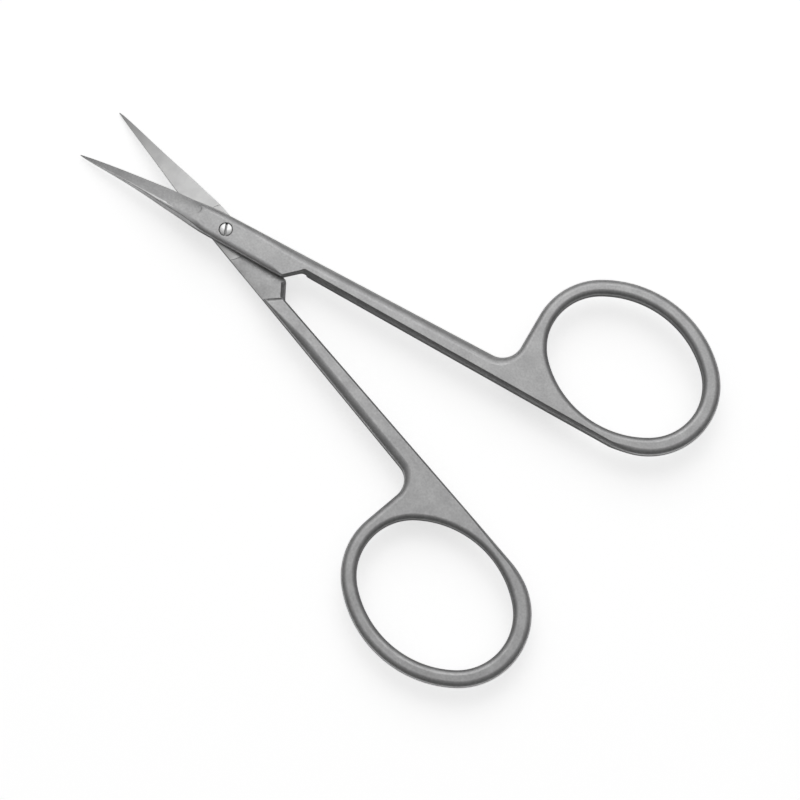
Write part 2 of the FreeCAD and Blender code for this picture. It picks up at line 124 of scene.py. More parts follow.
# %% [markdown]
# ## Camera
# The photograph looks almost straight down. A pinhole camera was fitted to the outlines of both
# rings and both blades: it stands 320 mm away and leans 11.5 degrees from the vertical. The line
# midway between the blades runs at 39.8 degrees across the picture, toward the upper left.

# %% Camera
VIEW_DISTANCE = 319.86
VIEW_TILT = math.radians(11.5)
VIEW_TURN = math.radians(39.83)
VIEW_AIM = Vector((-34.99, 2.95, MEETING))
VIEW_LENS = 101.475

right = Vector((-math.cos(VIEW_TURN), -math.sin(VIEW_TURN), 0))
ahead = Vector((math.sin(VIEW_TURN), -math.cos(VIEW_TURN), 0))
upright = Vector((0, 0, 1))
backward = upright * math.cos(VIEW_TILT) - ahead * math.sin(VIEW_TILT)
camera_up = ahead * math.cos(VIEW_TILT) + upright * math.sin(VIEW_TILT)
camera_data = bpy.data.cameras.new("camera")
camera_data.lens = VIEW_LENS
camera_data.sensor_width = 36.0
camera_data.clip_start = 0.01
camera_data.clip_end = 20.0
camera = bpy.data.objects.new("camera", camera_data)
place = Matrix((right, camera_up, backward)).transposed().to_4x4()
place.translation = (VIEW_AIM + backward * VIEW_DISTANCE) * MM
camera.matrix_world = place
bpy.context.scene.collection.objects.link(camera)
bpy.context.scene.camera = camera
print("camera at", tuple(round(v, 4) for v in place.translation))

# %% [markdown]
# ## Drawing with points
# An outline is a row of points. Straight runs and arcs are enough for every outline on the scissors,
# so two helpers make them. The others give the angle of a direction, a smooth curve through a few
# stations, which the blade needs, and a soft step from 0 to 1.

# %% Lines, arcs and smooth curves
def line(start, end, step=0.8):
    """Points from start to end, evenly spaced and no further apart than step."""
    start = np.asarray(start, float)
    end = np.asarray(end, float)
    count = max(math.ceil(np.linalg.norm(end - start) / step), 1)
    return start + (end - start) * np.linspace(0, 1, count + 1)[:, None]


def arc(center, radius, first, last, step=0.35):
    """Points center + radius (cos a, sin a) for a from first to last, in radians."""
    count = max(math.ceil(abs(last - first) * radius / step), 6)
    turn = np.linspace(first, last, count + 1)
    return np.asarray(center) + radius * np.stack([np.cos(turn), np.sin(turn)], 1)


def heading(vector):
    """The angle of a vector in the plane."""
    return math.atan2(vector[1], vector[0])


def smooth(x, stations, values):
    """Cubic curve through the stations that never overshoots between them.

    The slope at a station is the harmonic mean of the slopes beside it, and 0 at a peak.
    """
    stations = np.asarray(stations, float)
    values = np.asarray(values, float)
    gap = np.diff(stations)
    rise = np.diff(values) / gap
    before, after = rise[:-1], rise[1:]
    same_way = before * after > 0
    total = np.where(same_way, before + after, 1.0)
    inner = np.where(same_way, 2 * before * after / total, 0.0)
    slope = np.concatenate([rise[:1], inner, rise[-1:]])
    i = np.clip(np.searchsorted(stations, x, side="right") - 1, 0, len(gap) - 1)
    t = (x - stations[i]) / gap[i]
    curve = values[i] * (1 + 2 * t) * (1 - t) ** 2 + values[i + 1] * t**2 * (3 - 2 * t)
    return curve + gap[i] * (slope[i] * t * (1 - t) ** 2 - slope[i + 1] * t**2 * (1 - t))


def ease(share):
    """0 below 0, 1 above 1 and a smooth step between: 3 s^2 - 2 s^3."""
    share = np.clip(share, 0, 1)
    return share**2 * (3 - 2 * share)


# %% [markdown]
# ## Outline of one half
# Seen from above, a half is one closed line: along the outer side of the shank, through the hollow
# of the heel, round the ring, back along the straight inner side, up the slanted end of the box
# and along the box to the blade. Each stretch also says how its upper and its lower edge are dressed
# at both of its ends. A Bevel modifier has one width for all, and the real edges are dressed by hand:
# broad on the outside where fingers rub, nearly sharp on the inside.

# %% Outline of box, shank and ring
def outer_side(x):
    """Y of the straight outer side of the shank."""
    return -OUTER + x * math.tan(TAPER)


def waist(x):
    """Y of the outer side where it curves in toward the cutting edge, on a circle."""
    middle_x = WAIST_START - WAIST_RADIUS * math.sin(TAPER)
    middle_y = outer_side(WAIST_START) + WAIST_RADIUS * math.cos(TAPER)
    return middle_y - np.sqrt(WAIST_RADIUS**2 - (x - middle_x) ** 2)


# Dressed edges as width, drop and power: 2 is a round, 1 a straight bevel
BOX_OUTER = (1.0, 0.55, 1.6)
SHANK_OUTER = (1.35, 0.7, 1.5)
STEP_UNDER = (0.3, 0.22, 1.8)
SHANK_UNDER = (1.15, 0.6, 1.6)
SHANK_INNER = (0.5, 0.55, 1.2)
INNER_UNDER = (0.28, 0.32, 1.3)
RING_UP = (0.9, 0.58, 1.8)
RING_DOWN = (1.0, 1.5, 2.0)
HOLE_UP = (0.8, 0.55, 1.8)
HOLE_DOWN = (0.8, 1.3, 2.0)
BOX_END = (0.22, 0.25, 1.3)
BOX_TURN = (0.3, 0.3, 1.6)
BOX_SPINE = (0.8, 0.32, 2.0)
LIP = (0.05, 0.05, 2.0)
BEVEL_POWER = 1.1
BEVEL_EASE = 0.1
CORNER_BEVEL = CORNER_ROUND * 0.6
TURN_RUN = 2.0
INNER_RUN = 10.0
UPPER_BEVEL = 0.12
LOWER_BEVEL = 0.68


def even(points, top, low):
    """A stretch whose two edges stay the same from end to end."""
    return points, top, top, low, low


def half_outline(corner_back, box_bevel, turned):
    """Stretches of the outline as (points, top edge at start and end, lower edge at both).

    A turned half lies with its meeting face up, so its ring is dressed the other way round. On the
    other half the step ends further back, on the inner side, to clear the longer box when closed.
    """
    ring_top, ring_low = (RING_DOWN, RING_UP) if turned else (RING_UP, RING_DOWN)
    shift = np.array([-SHIFT_BACK, SHIFT_IN])
    near = hole_center + along_hole * END_SHIFT + shift
    far = hole_center - along_hole * END_SHIFT + shift
    low = hole_center + across_hole * (HOLE_SIDE - HOLE_WIDTH) + shift
    blend_radius = RING_END + BLEND_EXCESS
    rise = far[1] + SHANK_GAP + blend_radius
    blend = np.array([far[0] + math.sqrt(BLEND_EXCESS**2 - rise**2), -SHANK_GAP - blend_radius])
    heel_x = near[0] + RING_END + HEEL
    touch_x = heel_x - HEEL * math.sin(TAPER)
    heel = np.array([heel_x, outer_side(touch_x) - HEEL * math.cos(TAPER)])
    quarter = math.radians(90)
    slant = math.radians(BOX_END_ANGLE)
    toward = np.array([math.cos(slant), math.sin(slant)])
    corner = np.array([-corner_back, BOX_SIDE])
    crossing = corner - toward * (BOX_SIDE + SHANK_GAP) / math.sin(slant)
    crotch = crossing + np.array([-CROTCH * math.tan(slant / 2), CROTCH])
    cut = CORNER_ROUND * math.tan(slant / 2)
    end_low = crossing + toward * CROTCH * math.tan(slant / 2)
    end_high = corner - toward * cut
    corner_center = corner + np.array([cut, -CORNER_ROUND])
    side_start = corner_center[0]
    waist_x = np.linspace(FRONT, WAIST_START, 6)
    outer_land = -math.sqrt(LAND**2 - outer_side(-LAND) ** 2)
    side_land = -math.sqrt(LAND**2 - BOX_SIDE**2)
    outer_run = [
        WAIST_START, outer_land, outer_land - LAND_BEVEL, -STEP_OUTER, -STEP_OUTER - STEP_FADE, touch_x,
    ]
    on_outer = [np.array([x, outer_side(x)]) for x in outer_run]
    angle_near = heading(near - low)
    angle_far = heading(far - low)
    angle_blend = heading(far - blend) - 2 * math.pi
    bevel_on = end_low + (end_high - end_low) * BEVEL_EASE
    bevel_off = end_low + (end_high - end_low) * (1 - BEVEL_EASE)
    side_run = [side_start, side_start + TURN_RUN, side_land - LAND_BEVEL, side_land, FRONT]
    on_side = [np.array([x, BOX_SIDE]) for x in side_run]
    beveled = np.array([box_bevel, box_bevel, BEVEL_POWER])
    eased = np.minimum(beveled, (CORNER_BEVEL, CORNER_BEVEL, BEVEL_POWER))
    ring_near = (near[0] + RING_END, near[1])
    inner_end = (blend[0], -SHANK_GAP)
    inner_mid = (blend[0] + INNER_RUN, -SHANK_GAP)
    crotch_start = (crotch[0], -SHANK_GAP)
    fillet = arc(crotch, CROTCH, -quarter, slant - quarter, step=0.08)
    if turned:
        before_step = [
            even(line(inner_mid, crotch_start), SHANK_INNER, INNER_UNDER),
            (fillet, SHANK_INNER, BOX_END, INNER_UNDER, INNER_UNDER),
        ]
        past_step = []
    else:
        step_end = (-STEP_INNER, -SHANK_GAP)
        before_step = [even(line(inner_mid, step_end), SHANK_INNER, INNER_UNDER)]
        past_step = [
            even(line(step_end, crotch_start, step=0.1), SHANK_INNER, LIP),
            (fillet, SHANK_INNER, BOX_END, LIP, LIP),
        ]
    round_heel = arc(heel, HEEL, quarter + TAPER, 2 * quarter, step=0.2)
    into_shank = arc(blend, blend_radius, angle_blend + 2 * math.pi, quarter)
    round_corner = arc(corner_center, CORNER_ROUND, quarter + slant, quarter, step=0.04)
    return {
        "box outer": [
            even(np.stack([waist_x, waist(waist_x)], 1), BOX_OUTER, LIP),
            even(line(on_outer[0], on_outer[1]), BOX_OUTER, LIP),
            even(line(on_outer[1], on_outer[2]), BOX_OUTER, LIP),
            (line(on_outer[2], on_outer[3]), BOX_OUTER, SHANK_OUTER, LIP, LIP),
        ],
        "handle": [
            (line(on_outer[3], on_outer[4]), SHANK_OUTER, SHANK_OUTER, STEP_UNDER, SHANK_UNDER),
            even(line(on_outer[4], on_outer[5]), SHANK_OUTER, SHANK_UNDER),
            (round_heel, SHANK_OUTER, ring_top, SHANK_UNDER, ring_low),
            even(line((near[0] + RING_END, heel[1]), ring_near), ring_top, ring_low),
            even(arc(near, RING_END, 0, angle_near), ring_top, ring_low),
            even(arc(low, HOLE_SIDE + RING_WIDTH, angle_near, angle_far), ring_top, ring_low),
            even(arc(far, RING_END, angle_far, angle_blend), ring_top, ring_low),
            (into_shank, ring_top, SHANK_INNER, ring_low, SHANK_INNER),
            (line(inner_end, inner_mid), SHANK_INNER, SHANK_INNER, SHANK_INNER, INNER_UNDER),
            *before_step,
        ],
        "box side": [
            *past_step,
            (line(end_low, bevel_on, step=0.05), BOX_END, BOX_END, LIP, beveled),
            even(line(bevel_on, bevel_off, step=0.3), BOX_END, beveled),
            (line(bevel_off, end_high, step=0.05), BOX_END, BOX_END, beveled, eased),
            (round_corner, BOX_END, BOX_TURN, eased, LIP),
            (line(on_side[0], on_side[1], step=0.2), BOX_TURN, BOX_SPINE, LIP, LIP),
            even(line(on_side[1], on_side[2]), BOX_SPINE, LIP),
            even(line(on_side[2], on_side[3]), BOX_SPINE, LIP),
            even(line(on_side[3], on_side[4]), BOX_SPINE, LIP),
        ],
    }


def join_stretches(stretches):
    """One row of points, with the edges eased from end to end of each stretch."""
    points, top, low = [], [], []
    for row, top_a, top_b, low_a, low_b in stretches:
        share = ease(np.linspace(0, 1, len(row)))[:-1, None]
        points.append(row[:-1])
        top.append(np.array(top_a) * (1 - share) + np.array(top_b) * share)
        low.append(np.array(low_a) * (1 - share) + np.array(low_b) * share)
    points.append(stretches[-1][0][-1:])
    top.append(np.array([stretches[-1][2]]))
    low.append(np.array([stretches[-1][4]]))
    return np.concatenate(points), np.concatenate(top), np.concatenate(low)


def inward(points, closed=False):
    """Unit vectors square to a row of points, to its right, where the steel is."""
    if closed:
        steps = np.diff(np.concatenate([points[-1:], points, points[:1]]), axis=0)
    else:
        steps = np.diff(points, axis=0)
        steps = np.concatenate([steps[:1], steps, steps[-1:]])
    steps = steps / np.linalg.norm(steps, axis=1)[:, None]
    way = steps[:-1] + steps[1:]
    way = way / np.linalg.norm(way, axis=1)[:, None]
    return np.stack([way[:, 1], -way[:, 0]], 1)


upper_outline = half_outline(BOX_CORNER, UPPER_BEVEL, False)
print("stretches of the upper half", {name: len(rows) for name, rows in upper_outline.items()})

# %% [markdown]
# ## Rounded edges
# An edge strip is a profile carried along the outline: in from the flat face, over a dressed edge
# and down the wall. Each row of the strip is the outline moved in by some distance at some height,
# so the whole strip is two arrays, distance and height, over the outline's points.

# %% Edge strips and flat fills
ROUND_STEPS = 14
BREAK_STEPS = 5
SUPPORT = 0.03
SEAM = 2e-6
SLIVER = 1e-7
SHARP = math.radians(28)


def carry(points, square, distance, height):
    """Grid of points: the outline moved along square by distance, at height; one row per column."""
    flat = points[:, None, :] + square[:, None, :] * distance[:, :, None]
    return np.concatenate([flat, height[:, :, None]], 2)


def rounding(edge, steps):
    """Distance in and height lost from the flat face, over a dressed edge to the wall.

    Inset is width (1 - cos(a)^(2/p)) and drop is height (1 - sin(a)^(2/p)), a from 90 to 0 degrees.
    """
    turn = np.linspace(math.pi / 2, 0, steps)
    width, drop, power = edge[:, 0:1], edge[:, 1:2], edge[:, 2:3]
    inset = width * (1 - np.clip(np.cos(turn), 0, 1) ** (2 / power))
    return inset, drop * (1 - np.clip(np.sin(turn), 0, 1) ** (2 / power))


def upper_strip(points, square, edge, middle):
    """From the top face over its rounded edge to the height middle on the wall."""
    inset, lost = rounding(edge, ROUND_STEPS)
    zero = np.zeros((len(points), 1))
    distance = np.concatenate([inset[:, :1] + SUPPORT, inset, zero], 1)
    height = np.concatenate([zero + PLATE, PLATE - lost, middle[:, None]], 1)
    return carry(points, square, distance, height)


def lower_strip(points, square, edge, middle, floor, steps, support):
    """From the height middle on the wall over the lower edge to the face at floor."""
    inset, lost = rounding(edge, steps)
    zero = np.zeros((len(points), 1))
    base = np.broadcast_to(floor, (len(points),))[:, None]
    distance = [zero, inset[:, ::-1]]
    height = [middle[:, None], base + lost[:, ::-1]]
    if support:
        distance.append(inset[:, :1] + SUPPORT)
        height.append(base)
    return carry(points, square, np.concatenate(distance, 1), np.concatenate(height, 1))


class Shell:
    """Collects grids and flat fills of one piece, with a finish number for every face."""

    def __init__(self):
        self.points = []
        self.faces = []
        self.finishes = []
        self.count = 0

    def add(self, points, faces, finish):
        """Points and the faces between them, in one finish or in one for each face."""
        self.points.append(points.reshape(-1, 3))
        self.faces += (faces + self.count).tolist()
        self.finishes.append(np.broadcast_to(finish, (len(faces),)))
        self.count += points.size // 3

    def grid(self, points, finish, loop=False):
        """Quads between neighbours of a grid; loop joins the last row to the first."""
        if loop:
            points = np.concatenate([points, points[:1]])
        rows, columns = points.shape[:2]
        number = np.arange(rows * columns).reshape(rows, columns)
        corners = (number[:-1, :-1], number[1:, :-1], number[1:, 1:], number[:-1, 1:])
        self.add(points, np.stack(corners, -1).reshape(-1, 4), finish)

    def fill(self, loops, finish, flat=lambda p: p[:, :2], back=None, inside=()):
        """Triangles over a flat outline, less its holes; flat and back lay the plane out.

        Points given as inside become corners too, so that the face can be shaped later.
        A triangle is kept if a line from its middle toward +x crosses the loops an odd number of times.
        """
        laid = [flat(loop) for loop in loops]
        sizes = [len(loop) for loop in laid]
        starts = np.concatenate([[0], np.cumsum(sizes)[:-1]])
        ends = [np.roll(np.arange(size), -1) + start for size, start in zip(sizes, starts)]
        corners = np.concatenate(laid)
        edges = np.stack([np.arange(len(corners)), np.concatenate(ends)], 1)
        made = delaunay_2d_cdt(corners.tolist() + list(inside), edges.tolist(), [], 0, SLIVER)
        plane = np.array([tuple(p) for p in made[0]])
        faces = np.array(made[2])
        middle = plane[faces].mean(1)
        a, b = corners[edges[:, 0]], corners[edges[:, 1]]
        spans = (a[:, 1] > middle[:, 1:]) != (b[:, 1] > middle[:, 1:])
        fall = np.where(a[:, 1] == b[:, 1], 1.0, b[:, 1] - a[:, 1])
        meets = a[:, 0] + (middle[:, 1:] - a[:, 1]) / fall * (b[:, 0] - a[:, 0])
        faces = faces[(spans & (meets > middle[:, :1])).sum(1) % 2 == 1]
        if back is None:
            level = np.full((len(plane), 1), loops[0][0, 2])
            points = np.concatenate([plane, level], 1)
        else:
            points = back(plane)
        self.add(points, faces, finish)

    def mesh(self, name, place):
        """The closed mesh, moved by place into the frame: seams merged, slivers closed, faces outward."""
        points = place(np.concatenate(self.points)) * MM
        mesh = bpy.data.meshes.new(name)
        mesh.from_pydata(points.tolist(), [], self.faces)
        mesh.polygons.foreach_set("material_index", np.concatenate(self.finishes).astype(np.int32))
        body = bmesh.new()
        body.from_mesh(mesh)
        bmesh.ops.remove_doubles(body, verts=body.verts, dist=SEAM)
        bmesh.ops.dissolve_degenerate(body, edges=body.edges, dist=SLIVER)
        gaps = [edge for edge in body.edges if edge.is_boundary]
        bmesh.ops.holes_fill(body, edges=gaps, sides=4)
        bmesh.ops.recalc_face_normals(body, faces=body.faces)
        open_edges = sum(1 for edge in body.edges if not edge.is_manifold)
        body.to_mesh(mesh)
        body.free()
        mesh.polygons.foreach_set("use_smooth", np.ones(len(mesh.polygons), bool))
        mesh.set_sharp_from_angle(angle=SHARP)
        print(f"{name}: {len(mesh.polygons)} faces, {open_edges} open edges")
        return mesh


# %% [markdown]
# ## Blade
# From just ahead of the screw to the tip, a half is a stack of sections across the blade. At the
# root a section has the box's dressed edges. Toward the tip the spine side turns into a steep wall
# and a narrow strip that ends in a ridge, and the outer face is ground down to a thin cutting edge.
# A plate that is bent and beveled by modifiers would keep one edge all along, so each section is
# worked out from the stations below, with one value per place and a smooth curve through each row.

# %% Blade sections
STATIONS = (FRONT, 3.0, 4.2, 6.93, 9.87, 13.86, 17.85, 22.05, 24.36, TIP)
SPINE = (1.95, 1.95, 1.91, 1.653, 1.387, 0.969, 0.646, 0.38, 0.19, 0.06)
EDGE = (waist(FRONT), waist(3.0), -1.88, -1.628, -1.4985, -1.147, -0.7955, -0.407, -0.148, -0.05)
RIDGE_IN = (BOX_SPINE[0], 0.82, 0.9, 1.0, 0.76, 0.44, 0.27, 0.14, 0.075, 0.03)
RIDGE_TOP = (1.5, 1.5, 1.48, 1.22, 0.98, 0.75, 0.58, 0.44, 0.34, 0.28)
SPINE_WALL = (PLATE - BOX_SPINE[1], 1.1, 0.85, 0.3, 0.24, 0.2, 0.19, 0.18, 0.17, 0.16)
WALL_IN = (0.3, 0.3, 0.32, 0.36, 0.31, 0.26, 0.19, 0.11, 0.05, 0.015)
WALL_TOP = (1.4, 1.4, 1.4, 1.185, 0.96, 0.745, 0.578, 0.439, 0.339, 0.279)
RIDGE_ROUND = (0.1, 0.1, 0.2, 0.34, 0.32, 0.26, 0.17, 0.1, 0.04, 0.012)
EDGE_IN = (BOX_OUTER[0], 1.0, 0.75, 0.08, 0.03, 0.02, 0.02, 0.015, 0.01, 0.01)
EDGE_TOP = (1.5, 1.5, 1.42, 0.72, 0.51, 0.385, 0.325, 0.28, 0.27, 0.25)
EDGE_WALL = (PLATE - BOX_OUTER[1], 0.94, 0.9, 0.58, 0.44, 0.34, 0.29, 0.25, 0.23, 0.2)
SWELL = (0, 0, 0.05, 0.2, 0.09, 0.04, 0.03, 0.02, 0.02, 0.02)
BREAK = (0.05, 0.05, 0.045, 0.02, 0.015, 0.015, 0.012, 0.01, 0.008, 0.006)
ALONG = ((FRONT, 3.4, 12), (3.4, 5.6, 50), (5.6, 23.0, 80), (23.0, TIP, 22))
FACE_STEPS = 22
WALL_STEPS = 3
CORNER_STEPS = 6
FACET_START = 2.6
FACET_FULL = 5.6
WALL_SOFT = 0.4
RIDGE_SOFT = 0.7
SOFT_LIMIT = 0.4
GRIND_START = 4.47
GRIND_MIDDLE = -0.65
GRIND_WIDTH = 0.75
GRIND_DEPTH = 0.035
GRIND_CURVE = 0.85
GRIND_LIP = 0.2
GRIND_FADE = 2.5


def land_height(x, y):
    """Height of the meeting face: the round land stands proud of the relieved face."""
    return RELIEF * ease((np.hypot(x, y) - LAND) / LAND_BEVEL)


def grind_mark(x, y):
    """Shallow scoop where the grinding wheel enters the outer face, with a crescent at its start."""
    start = GRIND_START + GRIND_CURVE * (y - GRIND_MIDDLE) ** 2
    past = x - start
    window = np.exp(-(((y - GRIND_MIDDLE) / GRIND_WIDTH) ** 2))
    fade = np.exp(-np.clip(past, 0, None) / GRIND_FADE)
    return GRIND_DEPTH * window * ease(past / GRIND_LIP) * fade


def spine_side(crisp, foot_up, wall_in, wall_top, ridge_in, ridge_top, ridge_round, face_in, face_up):
    """Inset and height up the spine side: the box's dressed edge at the root, flat faces further out.

    A steep wall and a narrow strip of the plate's top lead to the ridge. Their two corners are curves
    (1-t)^2 a + 2t(1-t) b + t^2 c with the corner as b. crisp is the share of the flat faces.
    """
    turn = np.linspace(0, math.pi / 2, ROUND_STEPS)
    round_in = ridge_in * (1 - np.cos(turn) ** (2 / BOX_SPINE[2]))
    round_up = foot_up + (ridge_top - foot_up) * np.sin(turn) ** (2 / BOX_SPINE[2])
    strip = np.hypot(ridge_in - wall_in, ridge_top - wall_top)
    rise = np.hypot(wall_in, wall_top - foot_up)
    stop = 1 - np.minimum(WALL_SOFT * ridge_round / rise, SOFT_LIMIT)
    begin = np.minimum(WALL_SOFT * ridge_round / strip, SOFT_LIMIT)
    away = np.minimum(RIDGE_SOFT * ridge_round / strip, SOFT_LIMIT)

    def corner(a, b, c, steps):
        t = np.linspace(0, 1, steps)
        return (1 - t) ** 2 * a + 2 * t * (1 - t) * b + t**2 * c

    def up_the_side(foot, wall, ridge, face):
        straight = np.linspace(0, 1, WALL_STEPS, endpoint=False)
        low = foot + stop * (wall - foot)
        high = wall + begin * (ridge - wall)
        before = wall + (1 - away) * (ridge - wall)
        run = foot + (low - foot) * straight
        turn_in = corner(low, wall, high, CORNER_STEPS)
        over = corner(before, ridge, face, ROUND_STEPS - WALL_STEPS - CORNER_STEPS)
        return np.concatenate([run, turn_in, over], 1)

    facet_in = up_the_side(0 * wall_in, wall_in, ridge_in, face_in)
    facet_up = up_the_side(foot_up, wall_top, ridge_top, face_up)
    return round_in * (1 - crisp) + facet_in * crisp, round_up * (1 - crisp) + facet_up * crisp


def blade_sections():
    """Places along the blade, and closed sections: spine side up, outer face, edge side, inner face."""
    x = np.concatenate([np.linspace(start, end, count)[:-1] for start, end, count in ALONG] + [[TIP]])
    names = (SPINE, EDGE, RIDGE_IN, RIDGE_TOP, SPINE_WALL, RIDGE_ROUND, WALL_IN, WALL_TOP,
             EDGE_IN, EDGE_TOP, EDGE_WALL, SWELL, BREAK)
    rows = [smooth(x, STATIONS, values)[:, None] for values in names]
    spine, edge, ridge_in, ridge_top, spine_wall, ridge_round = rows[:6]
    wall_in, wall_top, edge_in, edge_top, edge_wall, swell, lip = rows[6:]
    x = x[:, None]
    quarter = np.linspace(math.pi / 2, 0, ROUND_STEPS)
    lip_turn = np.linspace(math.pi / 2, 0, BREAK_STEPS)
    spine_foot = land_height(x, spine)
    edge_foot = land_height(x, edge)
    lip_in = lip * (1 - np.cos(lip_turn))
    lip_up = lip * (1 - np.sin(lip_turn))
    spine_middle = (spine_foot + lip + spine_wall) / 2
    edge_middle = (edge_foot + lip + edge_wall) / 2
    edge_round = edge_in * (1 - np.cos(quarter) ** (2 / BOX_OUTER[2]))
    edge_fall = edge_wall + (edge_top - edge_wall) * np.sin(quarter) ** (2 / BOX_OUTER[2])
    ridge_y = spine - ridge_in
    edge_y = edge + edge_in
    span = ridge_y - edge_y
    crisp = ease((x - FACET_START) / (FACET_FULL - FACET_START))
    support = np.minimum(SUPPORT, span * 0.1)
    ridge_support = support * (1 - crisp) + np.minimum(ridge_round, span * 0.2) * crisp
    across = np.linspace(0, 1, FACE_STEPS)
    face_y = (ridge_y - ridge_support) + (edge_y + support + ridge_support - ridge_y) * across
    up = (face_y - edge_y) / span
    face_z = edge_top + (ridge_top - edge_top) * (up + swell * np.sin(math.pi * up))
    face_z = face_z - grind_mark(x, face_y)
    facet_in, facet_up = spine_side(
        crisp, spine_wall, wall_in, wall_top, ridge_in, ridge_top, ridge_round,
        spine - face_y[:, :1], face_z[:, :1],
    )
    inner_y = (edge + lip) + (spine - edge - 2 * lip) * across
    inner_z = land_height(x, inner_y)
    middle = np.zeros_like(x)
    y = np.concatenate([
        spine - lip_in, spine + middle, spine - facet_in,
        face_y,
        edge + edge_round, edge + middle, edge + lip_in[:, ::-1],
        inner_y[:, 1:],
    ], 1)
    z = np.concatenate([
        spine_foot + lip_up, spine_middle, facet_up,
        face_z,
        edge_fall, edge_middle, edge_foot + lip_up[:, ::-1],
        inner_z[:, 1:],
    ], 1)
    return np.stack([np.broadcast_to(x, y.shape), y, z], 2)


sections = blade_sections()
print("blade", sections.shape[0], "sections of", sections.shape[1], "points")

# %% [markdown]
# ## One half, put together
# Each half is forged as one piece and then ground, so it is one closed skin here too. The two are the
# same shape but for a few things: which way the blade bends in the half's own frame, how far back the
# box ends, where the step starts, which side of the ring is dressed more, and the hole at the joint.
# A boolean of simple solids would leave hard seams, so every edge strip, face and wall is laid out
# point by point and the seams are merged. The step that lifts the shank across the meeting plane is
# cut on a slant, so the strips beside it are mitred to end on its plane.

# %% Finger hole, blade and step of a half
# Finish 2 is a painted highlight: the narrow ridge faces get a far brighter steel colour.
SATIN, GROUND, RIDGE_HIGHLIGHT = 0, 1, 2
HIGHLIGHT_FROM = 7.4
HIGHLIGHT_TO = 21.0
HIGHLIGHT_WIDTH = 0.12
RIDGE_FIRST = BREAK_STEPS + WALL_STEPS + CORNER_STEPS
HIGHLIGHT_ROWS = slice(RIDGE_FIRST, RIDGE_FIRST + 3)
BORE_STEPS = 72
LAND_STEPS = 60


def ring_points(radius, height, steps=BORE_STEPS):
    """A closed ring of points around the joint axis."""
    turn = np.linspace(0, 2 * math.pi, steps, endpoint=False)
    return np.stack([radius * np.cos(turn), radius * np.sin(turn), np.full(steps, height)], 1)


def finger_hole():
    """The oval of the finger hole, anticlockwise: two end arcs and two flatter side arcs."""
    near = hole_center + along_hole * END_SHIFT
    far = hole_center - along_hole * END_SHIFT
    drop = across_hole * (HOLE_SIDE - HOLE_WIDTH)
    low, high = hole_center + drop, hole_center - drop
    turns = [heading(near - low), heading(near - high), heading(far - high), heading(far - low)]
    turns = np.unwrap(turns + [turns[0]])
    stretches = (
        arc(near, HOLE_END, turns[0], turns[1]),
        arc(high, HOLE_SIDE, turns[1], turns[2]),
        arc(far, HOLE_END, turns[2], turns[3]),
        arc(low, HOLE_SIDE, turns[3], turns[4]),
    )
    return np.concatenate([row[:-1] for row in stretches])


def add_finger_hole(shell, turned):
    """The rounded edges of the finger hole; returns the loops where they meet the two flat faces."""
    oval = finger_hole()
    square = inward(oval, closed=True)
    top, low = (HOLE_DOWN, HOLE_UP) if turned else (HOLE_UP, HOLE_DOWN)
    top = np.broadcast_to(top, (len(oval), 3))
    low = np.broadcast_to(low, (len(oval), 3))
    middle = (PLATE - top[:, 1] - DEPTH + low[:, 1]) / 2
    upper = upper_strip(oval, square, top, middle)
    lower = lower_strip(oval, square, low, middle, -DEPTH, ROUND_STEPS, True)
    shell.grid(upper, SATIN, loop=True)
    shell.grid(lower, SATIN, loop=True)
    return upper[:, 0], lower[:, -1]


def add_blade(shell):
    """Satin skin with a painted highlight along the ridge, ground inner face and tip; returns the root's
    two flat rows.
    """
    blade = blade_sections()
    inner_first = blade.shape[1] - FACE_STEPS
    skin = blade[:, :inner_first + 1].transpose(1, 0, 2)
    finish = np.full((skin.shape[0] - 1, skin.shape[1] - 1), SATIN)
    along = skin[0, :-1, 0]
    slim = np.linalg.norm(np.diff(skin[:, :-1], axis=0), axis=2) < HIGHLIGHT_WIDTH
    slim = slim & (along > HIGHLIGHT_FROM) & (along < HIGHLIGHT_TO)
    # The narrow faces on the ridge take the finish that paints the ridge's highlight.
    finish[HIGHLIGHT_ROWS][slim[HIGHLIGHT_ROWS]] = RIDGE_HIGHLIGHT
    shell.grid(skin, finish.ravel())
    inner = np.concatenate([blade[:, inner_first:], blade[:, :1]], 1)
    shell.grid(inner.transpose(1, 0, 2), GROUND)
    shell.fill(
        [blade[-1]], SATIN,
        flat=lambda p: p[:, 1:],
        back=lambda p: np.concatenate([np.full((len(p), 1), TIP), p], 1),
    )
    face_first = BREAK_STEPS + 1 + ROUND_STEPS
    return blade[0, face_first + 1:face_first + FACE_STEPS - 1], blade[0, inner_first + 1:]


def step_corners(handle, away):
    """Points on the shank's underside beside the step, in rows, so that round_step can shape it there."""
    first, last = handle[0, -1, :2], handle[-1, -1, :2]
    along = np.linspace(0.06, 0.94, 24)[:, None, None] * (last - first)
    rows = STEP_ROUND * np.linspace(0, 1.2, 9)[1:, None] * np.array([1 / away[0], 0])
    return (first + along + rows).reshape(-1, 2).tolist()


def round_step(points, base, away):
    """Rounds the shank's edge at the step: heights within reach of it fall by drop (1 - s / reach)^2."""
    past = (points[:, :2] - base) @ away
    share = np.clip(1 - past / STEP_ROUND, 0, 1) ** 2 * (past > -1e-5)
    points[:, 2] += STEP_DROP * share * np.clip(-points[:, 2] / DEPTH, 0, 1) ** 2
    return points


